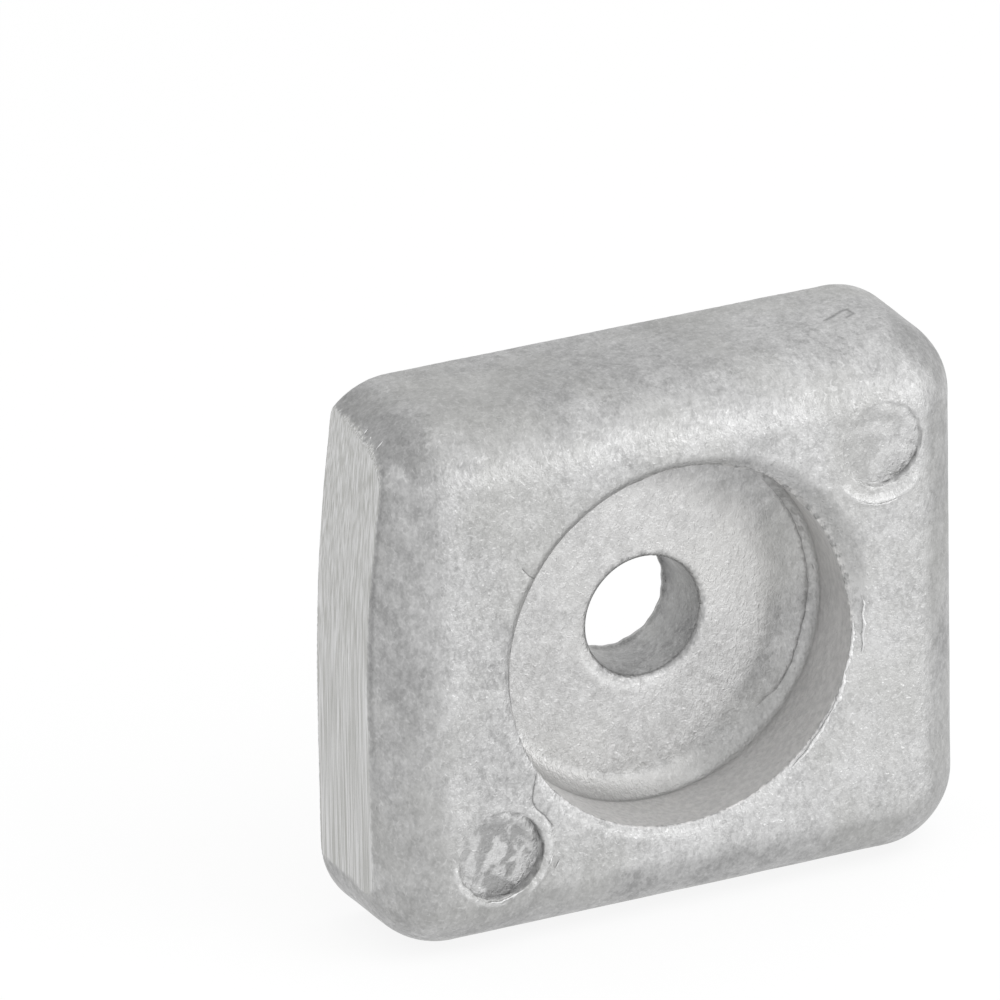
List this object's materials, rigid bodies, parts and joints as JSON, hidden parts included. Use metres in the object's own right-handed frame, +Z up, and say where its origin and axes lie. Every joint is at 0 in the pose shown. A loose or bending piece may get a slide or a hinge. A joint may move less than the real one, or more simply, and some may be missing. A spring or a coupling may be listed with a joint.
{
  "type": "sacrificial anode",
  "caption": "Flat cast metal block anode with large soft edges, a counterbored bolt hole in its front and shallow recesses on its mounting face.",
  "frame": {"origin": "where the bolt hole's axis meets the mounting face", "axes": "+Z up, the mounting face looks along +Y, the counterbored front looks along -Y, +X to the right seen from the front"},
  "size_m": [0.0359, 0.0093, 0.0316],
  "materials": {
    "cast_metal": "bare die-cast, dull grainy grey with bright specks"
  },
  "bodies": {
    "root": {"anode_casting": "cast_metal"}
  },
  "joints": []
}
